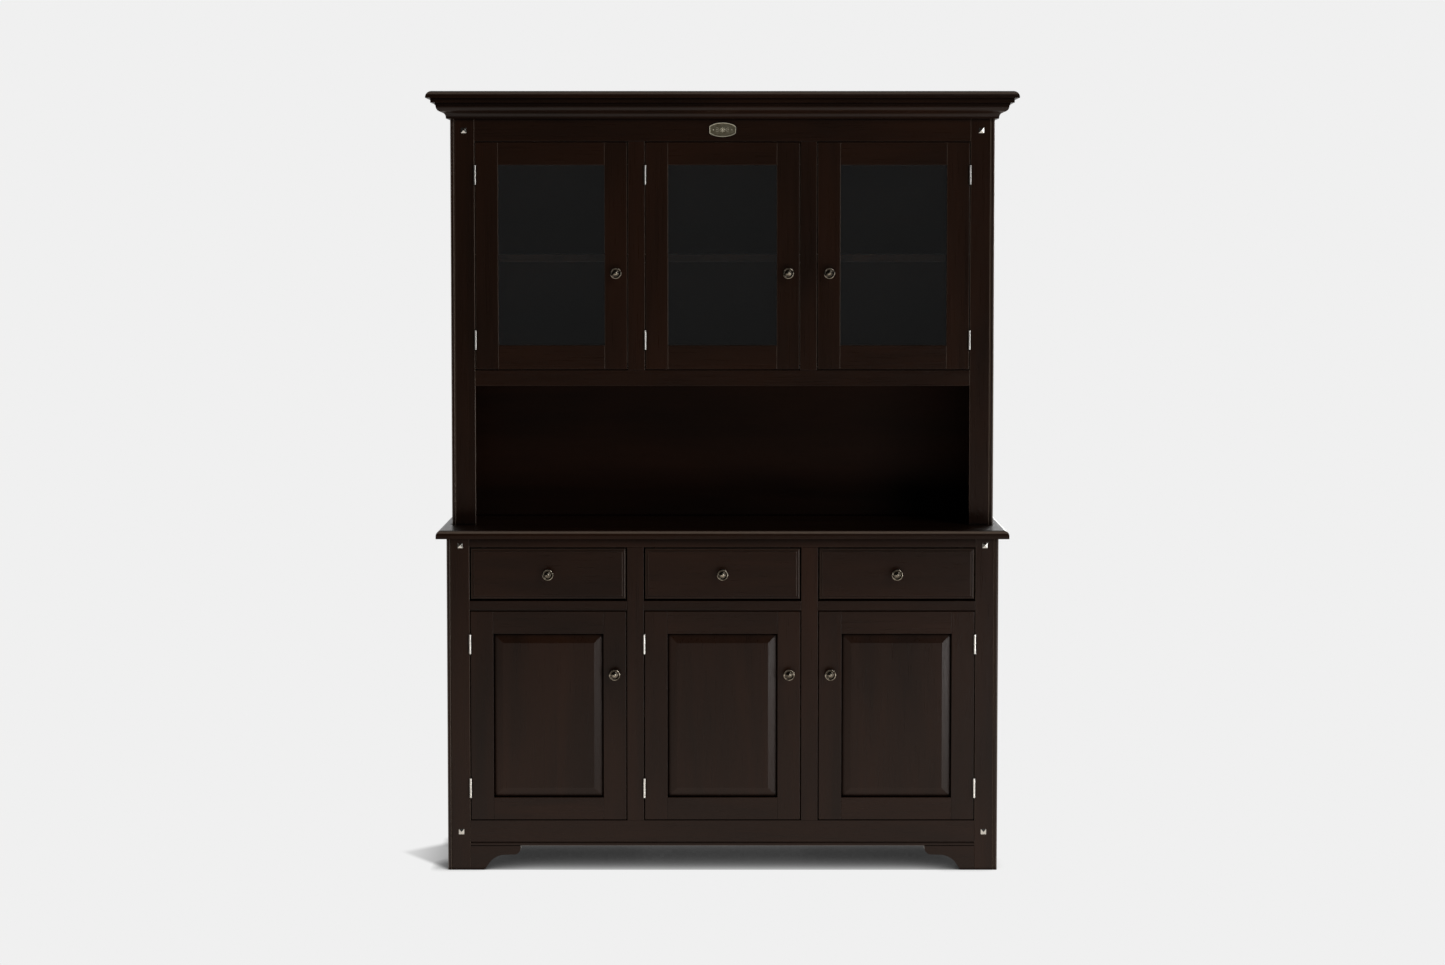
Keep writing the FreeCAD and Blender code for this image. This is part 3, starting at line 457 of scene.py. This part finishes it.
# The base rails' wider reach spreads the painted crease shade, which stands in for the shadow under the
# worktop's overhang.
RAIL_REACH = 0.03
finish("base_posts", wood("base_posts", "z", rubbed=HIGHLIGHT_AND_WEAR_POSTS))
for upright in ("base_mid_stiles", "base_side_panels"):
    finish(upright, wood(upright, "z", rubbed=HIGHLIGHT_AND_WEAR_BASE))
for upright in ("hutch_posts", "hutch_mid_stiles", "hutch_side_panels", "hutch_partitions"):
    finish(upright, wood(upright, "z", rubbed=HIGHLIGHT_AND_WEAR_HUTCH))
finish("base_rails", wood("base_rails", "x", rubbed=HIGHLIGHT_AND_WEAR_BASE, reach=RAIL_REACH))
finish("base_bottom_rail", wood("base_bottom_rail", "x", rubbed=HIGHLIGHT_AND_WEAR_BASE))
for level in ("hutch_rails", "hutch_deck_panels", "hutch_shelves"):
    finish(level, wood(level, "x", rubbed=HIGHLIGHT_AND_WEAR_HUTCH))
# The worktop and cap take the painted highlight on their top arrises at full strength.
for moulded in ("worktop", "cornice_cap"):
    finish(moulded, wood(moulded, "x", rubbed=HIGHLIGHT_AND_WEAR_TOPS, level=1.0))
# The back panel takes the darker copies of the stain as painted shade inside the niche.
finish("hutch_back_panel", wood("hutch_back_panel", "x", NICHE_SHADE_DARK, NICHE_SHADE_RED, sheen=0.42,
                                bump=0.00003, gloss=0.08, rubbed=0.1))

hutch_low, hutch_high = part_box("hutch_posts")


def on_the_sides(tree):
    """1 past the mitre, where the cornice runs along the side of the hutch."""
    place = add(tree, "ShaderNodeTexCoord")
    split = add(tree, "ShaderNodeSeparateXYZ", [(place.outputs["Object"], 0)])
    across = math_node(tree, "ABSOLUTE", split.outputs["X"])
    out_side = math_node(tree, "SUBTRACT", across, hutch_high.x)
    out_front = math_node(tree, "SUBTRACT", hutch_low.y, split.outputs["Y"])
    return math_node(tree, "GREATER_THAN", out_side, out_front)


finish("cornice_moulding", wood("cornice_moulding", "x", rubbed=0.05, other="y", mask=on_the_sides))
skirt_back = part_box("base_bottom_rail")[1].y


def behind_the_skirt(tree):
    """1 behind the front frame, where the bracket feet run along the sides."""
    return between(tree, "Y", skirt_back + 0.0005, cad_high.y + 1)


finish("bracket_feet", wood("bracket_feet", "x", rubbed=HIGHLIGHT_AND_WEAR_BASE, other="y",
                            mask=behind_the_skirt))


def pale_wood(name, grain, sheen=0.55):
    """The sealed secondary wood of the boards inside the sideboard and the drawers."""
    return wood(name, grain, PALE_DARK, PALE_LIGHT, sheen=sheen, pores=0.3, rubbed=0)


for level in ("base_back_panel", "base_bottom_panel", "base_shelves"):
    finish(level, pale_wood(level, "x"))
finish("base_partitions", pale_wood("base_partitions", "z"))
finish("drawer_runners", pale_wood("drawer_runners", "y", sheen=0.6))

# --------------------------------------------------------------------------- metal finishes
# The knobs and badge are cast and antiqued: dark in the hollows and rubbed bright on the rims.
# Hinges and studs are bright nickel and the shelf pins zinc-plated steel. The catches are browned
# iron, coloured near black as painted shade where they show through the door gaps.
AGED_DARK = (0.085, 0.073, 0.055, 1)
AGED_BRIGHT = (0.36, 0.32, 0.26, 1)
RING_MIDDLE = 0.0095
RING_IN = 0.0015
RING_OUT = 0.0035
RING_TARNISH = (0.045, 0.038, 0.029, 1)


def tarnish_group():
    """Clouds of tarnish: a dull dark state and a polished bright one."""
    group, start, end = shader_group(
        "tarnish",
        [("Point", "NodeSocketVector", None), ("Scale", "NodeSocketFloat", 60.0),
         ("Dark", "NodeSocketColor", AGED_DARK), ("Bright", "NodeSocketColor", AGED_BRIGHT),
         ("Dull", "NodeSocketFloat", 0.3), ("Polished", "NodeSocketFloat", 0.2)],
        [("Color", "NodeSocketColor"), ("Roughness", "NodeSocketFloat")])
    cloud = add(group, "ShaderNodeTexNoise", [(start.outputs["Point"], "Vector"),
                                              (start.outputs["Scale"], "Scale")], Detail=4.0)
    clear = add(group, "ShaderNodeMapRange", [(cloud.outputs["Fac"], "Value")], From_Min=0.35,
                From_Max=0.65)
    polish = add(group, "ShaderNodeMapRange", [(cloud.outputs["Fac"], "Value"),
                                               (start.outputs["Dull"], "To Min"),
                                               (start.outputs["Polished"], "To Max")])
    group.links.new(mix_colour(group, clear.outputs["Result"], start.outputs["Dark"],
                               start.outputs["Bright"]), end.inputs["Color"])
    group.links.new(polish.outputs["Result"], end.inputs["Roughness"])
    return group


TARNISH = tarnish_group()


def metal(name, dark, bright, rough, spread, scale):
    """A metal whose colour and polish wander between two states."""
    made = bpy.data.materials.new(name)
    made.use_nodes = True
    tree = made.node_tree
    shader = tree.nodes["Principled BSDF"]
    place = add(tree, "ShaderNodeTexCoord")
    clouds = tree.nodes.new("ShaderNodeGroup")
    clouds.node_tree = TARNISH
    tree.links.new(place.outputs["Object"], clouds.inputs["Point"])
    clouds.inputs["Scale"].default_value = scale
    clouds.inputs["Dark"].default_value = dark
    clouds.inputs["Bright"].default_value = bright
    clouds.inputs["Dull"].default_value = rough + spread
    clouds.inputs["Polished"].default_value = rough - spread
    tree.links.new(clouds.outputs["Color"], shader.inputs["Base Color"])
    tree.links.new(clouds.outputs["Roughness"], shader.inputs["Roughness"])
    shader.inputs["Metallic"].default_value = 1.0
    return made


def dished_ring_group():
    """Tarnish lying in a ring round a knob's centre, seen along Y."""
    group, start, end = shader_group(
        "dished_ring", [("Point", "NodeSocketVector", None), ("Centre", "NodeSocketVector", None),
                        ("Body", "NodeSocketColor", AGED_BRIGHT)], [("Color", "NodeSocketColor")])
    flat = add(group, "ShaderNodeVectorMath", [(start.outputs["Point"], 0), (start.outputs["Centre"], 1)],
               operation="SUBTRACT")
    squashed = add(group, "ShaderNodeVectorMath", [(flat.outputs[0], 0)], operation="MULTIPLY")
    squashed.inputs[1].default_value = (1, 0, 1)
    radius = add(group, "ShaderNodeVectorMath", [(squashed.outputs[0], 0)], operation="LENGTH")
    ring = math_node(group, "ABSOLUTE", math_node(group, "SUBTRACT", radius.outputs["Value"], RING_MIDDLE))
    dished = add(group, "ShaderNodeMapRange", [(ring, "Value")], From_Min=RING_OUT, From_Max=RING_IN)
    group.links.new(mix_colour(group, dished.outputs["Result"], start.outputs["Body"], RING_TARNISH),
                    end.inputs["Color"])
    return group


DISHED_RING = dished_ring_group()


def knob_finish(knob):
    """Aged bronze, darker in the dished ring between the knob's rim and its domed centre."""
    made = metal(knob, AGED_DARK, AGED_BRIGHT, 0.15, 0.04, 90)
    low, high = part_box(knob)
    tree = made.node_tree
    place = add(tree, "ShaderNodeTexCoord")
    ring = tree.nodes.new("ShaderNodeGroup")
    ring.node_tree = DISHED_RING
    tree.links.new(place.outputs["Object"], ring.inputs["Point"])
    ring.inputs["Centre"].default_value = ((low.x + high.x) / 2, 0, (low.z + high.z) / 2)
    shader = tree.nodes["Principled BSDF"]
    tree.links.new(shader.inputs["Base Color"].links[0].from_socket, ring.inputs["Body"])
    tree.links.new(ring.outputs["Color"], shader.inputs["Base Color"])
    return made


nickel = metal("bright_nickel", (0.50, 0.49, 0.46, 1), (0.60, 0.59, 0.56, 1), 0.20, 0.04, 60)
satin_nickel = metal("satin_nickel", (0.70, 0.69, 0.66, 1), (0.80, 0.79, 0.76, 1), 0.34, 0.04, 60)
zinc = metal("zinc_steel", (0.42, 0.42, 0.42, 1), (0.62, 0.62, 0.60, 1), 0.38, 0.10, 200)
# Near black over a browned iron finish, as painted shade where the catches show in the door gaps.
gap_shade_iron = metal("browned_iron_gap_shade", (0.016, 0.011, 0.008, 1), (0.030, 0.021, 0.015, 1), 0.50, 0.08, 120)
finish("studs", nickel)
finish("hinge_post_leaves", satin_nickel)
finish("shelf_pins", zinc)
finish("door_catches", gap_shade_iron)

# --------------------------------------------------------------------------- badge
# An oval plate with flattened ends, cast in pale brass with a raised rim, is fixed to the frieze.
# Its sunk field carries a plain rosette between two scrolls and two pellets, rubbed bright.
PLATE_LONG = 0.07948
PLATE_TALL = 0.038
PLATE_END = 0.035
PLATE_THICK = 0.0030
RIM = 0.0026
RIM_RISE = 0.0012
RIM_STEPS = ((0.0005, 0), (RIM - 0.001, 0), (0.0005, RIM_RISE), (0.0010, 0))
PETALS = 8
PETAL_OUT = 0.0049
SCROLL_AT = 0.0148
SCROLL_RADIUS = 0.0052
SCROLL_WIRE = 0.0007
PELLET_AT = 0.0245
RUBBED_BRASS = (0.66, 0.63, 0.50, 1)
badge_low, badge_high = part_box("badge")
badge_z = (badge_low.z + badge_high.z) / 2


def edit_mode(on):
    """Enter or leave edit mode on the active object."""
    bpy.ops.object.mode_set(mode="EDIT" if on else "OBJECT")


def chosen_faces(piece, test):
    """Select the faces whose normal and centre pass a test, from edit mode."""
    bpy.ops.mesh.select_mode(type="FACE")
    bpy.ops.mesh.select_all(action="DESELECT")
    grid = bmesh.from_edit_mesh(piece.data)
    for face in grid.faces:
        face.select_set(test(face.normal, face.calc_center_median()))
    bmesh.update_edit_mesh(piece.data)


bpy.ops.object.select_all(action="DESELECT")
bpy.ops.mesh.primitive_circle_add(vertices=64, radius=0.5, fill_type="NGON",
                                  location=(0, badge_high.y, badge_z), rotation=(math.radians(90), 0, 0))
plate = bpy.context.object
plate.name = "badge_plate"
plate.scale = (PLATE_LONG, PLATE_TALL, 1)
bpy.ops.object.transform_apply(location=True, rotation=True, scale=True)
edit_mode(True)
for side in (-1, 1):
    bpy.ops.mesh.select_all(action="SELECT")
    bpy.ops.mesh.bisect(plane_co=(side * PLATE_END, 0, 0), plane_no=(side, 0, 0), use_fill=False,
                        clear_outer=True)
bpy.ops.mesh.select_all(action="SELECT")
bpy.ops.mesh.remove_doubles(threshold=0.0006)
bpy.ops.mesh.extrude_region_move(TRANSFORM_OT_translate={"value": (0, -PLATE_THICK, 0)})
bpy.ops.mesh.select_all(action="SELECT")
bpy.ops.mesh.normals_make_consistent(inside=False)
chosen_faces(plate, lambda normal, centre: normal.y < -0.9)
for width, step in RIM_STEPS:
    bpy.ops.mesh.extrude_region_move(TRANSFORM_OT_translate={"value": (0, step, 0)})
    bpy.ops.transform.resize(value=(1 - width / PLATE_END, 1, 1 - 2 * width / PLATE_TALL),
                             center_override=(0, badge_low.y, badge_z))
edit_mode(False)
bpy.ops.object.modifier_add(type="BEVEL")
plate.modifiers[-1].width = 0.0003
plate.modifiers[-1].segments = 2
plate.modifiers[-1].limit_method = "ANGLE"
bpy.ops.object.modifier_apply(modifier=plate.modifiers[-1].name)
bpy.ops.object.shade_smooth_by_angle(angle=math.radians(35))

field_y = badge_high.y - PLATE_THICK + RIM_RISE
relief = []


def boss(x, z, wide, tall, rise, turn=0.0):
    """A low domed boss on the field, flattened from a ball and turned about Y."""
    bpy.ops.object.select_all(action="DESELECT")
    bpy.ops.mesh.primitive_uv_sphere_add(segments=16, ring_count=10, radius=1,
                                         location=(x, field_y, z), rotation=(0, turn, 0))
    ball = bpy.context.object
    ball.scale = (wide, rise, tall)
    bpy.ops.object.transform_apply(location=True, rotation=True, scale=True)
    bpy.ops.object.shade_smooth()
    relief.append(ball)


def scroll(side):
    """A C-scroll on the field: a thin wire spun into a hook."""
    bpy.ops.object.select_all(action="DESELECT")
    bpy.ops.mesh.primitive_circle_add(vertices=8, radius=SCROLL_WIRE, rotation=(0, math.radians(90), 0),
                                      location=(side * SCROLL_AT, field_y, badge_z + SCROLL_RADIUS))
    wire = bpy.context.object
    bpy.ops.object.transform_apply(location=True, rotation=True, scale=True)
    edit_mode(True)
    bpy.ops.mesh.select_all(action="SELECT")
    bpy.ops.mesh.spin(steps=18, angle=math.radians(205), axis=(0, side, 0),
                      center=(side * SCROLL_AT, field_y, badge_z))
    bpy.ops.mesh.select_all(action="SELECT")
    bpy.ops.mesh.normals_make_consistent(inside=False)
    edit_mode(False)
    bpy.ops.object.shade_smooth()
    relief.append(wire)


boss(0, badge_z, 0.0024, 0.0024, 0.0013)
for petal in range(PETALS):
    turn = petal * math.radians(360 / PETALS)
    boss(PETAL_OUT * math.cos(turn), badge_z + PETAL_OUT * math.sin(turn), 0.0027, 0.0014, 0.0010, -turn)
for side in (-1, 1):
    scroll(side)
    boss(side * SCROLL_AT, badge_z + SCROLL_RADIUS, 0.0012, 0.0012, 0.0011)
    boss(side * SCROLL_AT, badge_z, 0.0016, 0.0016, 0.0011)
    boss(side * PELLET_AT, badge_z, 0.0016, 0.0016, 0.0011)
bpy.ops.object.select_all(action="DESELECT")
for item in relief + [plate]:
    item.select_set(True)
bpy.context.view_layer.objects.active = plate
bpy.ops.object.join()
pale_brass = metal("pale_brass", (0.16, 0.145, 0.095, 1), (0.25, 0.23, 0.165, 1), 0.46, 0.06, 140)
tree = pale_brass.node_tree
depth = add(tree, "ShaderNodeTexCoord")
depth_axes = add(tree, "ShaderNodeSeparateXYZ", [(depth.outputs["Object"], 0)])
rubbed = add(tree, "ShaderNodeMapRange", [(depth_axes.outputs["Y"], "Value")], From_Min=field_y - 0.0002,
             From_Max=field_y - 0.0010)
shader = tree.nodes["Principled BSDF"]
tarnished = shader.inputs["Base Color"].links[0].from_socket
tree.links.new(mix_colour(tree, rubbed.outputs[0], tarnished, RUBBED_BRASS), shader.inputs["Base Color"])
plate.data.materials.clear()
plate.data.materials.append(pale_brass)
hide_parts("badge")
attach(plate, "root")

# --------------------------------------------------------------------------- doors
# Each door is a frame of two stiles and two rails. The sideboard doors hold a raised panel, the
# hutch doors a clear pane held by beads. All turn on two butt hinges and have one knob.
STILE = 0.0595
pane = bpy.data.materials.new("clear_pane")
pane.use_nodes = True
pane_shader = pane.node_tree.nodes["Principled BSDF"]
pane_shader.inputs["Base Color"].default_value = (0.93, 0.96, 0.95, 1)
tree = pane.node_tree
place = add(tree, "ShaderNodeTexCoord")
wiped = add(tree, "ShaderNodeTexNoise", [(place.outputs["Object"], "Vector")], Scale=7.0, Detail=3.0,
            Distortion=0.8)
smear = add(tree, "ShaderNodeMapRange", [(wiped.outputs["Fac"], "Value")], From_Min=0.3, From_Max=0.7,
            To_Min=0.012, To_Max=0.030)
tree.links.new(smear.outputs["Result"], pane_shader.inputs["Roughness"])
pane_shader.inputs["Transmission Weight"].default_value = 1.0
pane_shader.inputs["IOR"].default_value = 1.5


def rails_of(door_frame):
    """A mask of a door frame's rails, which lie between its stiles."""
    low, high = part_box(door_frame)
    return lambda tree: between(tree, "X", low.x + STILE, high.x - STILE)


for bay in ("left", "middle", "right"):
    for tier, rubbed in (("base", HIGHLIGHT_AND_WEAR_BASE), ("hutch", HIGHLIGHT_AND_WEAR_HUTCH)):
        door = f"{tier}_door_{bay}"
        finish(f"{door}_frame", wood(f"{door}_frame", "z", rubbed=rubbed, other="x",
                                     mask=rails_of(f"{door}_frame")))
        if tier == "base":
            finish(f"{door}_panel", wood(f"{door}_panel", "z", rubbed=HIGHLIGHT_AND_WEAR_BASE))
        else:
            finish(f"{door}_glass", pane)
        finish(f"{door}_knob", knob_finish(f"{door}_knob"))
        finish(f"{door}_hinge_leaves", satin_nickel)

# --------------------------------------------------------------------------- drawers
# Three drawers with lipped fronts, sides of pale secondary wood and one turned knob each.
for bay in ("left", "middle", "right"):
    drawer = f"drawer_{bay}"
    # The fronts' lips take the painted arris highlight, most on their upper edges, which also stands for
    # worn stain.
    finish(f"{drawer}_front", wood(f"{drawer}_front", "x", rubbed=0.4, level=0.8))
    finish(f"{drawer}_box", pale_wood(f"{drawer}_box", "y"))
    finish(f"{drawer}_knob", knob_finish(f"{drawer}_knob"))
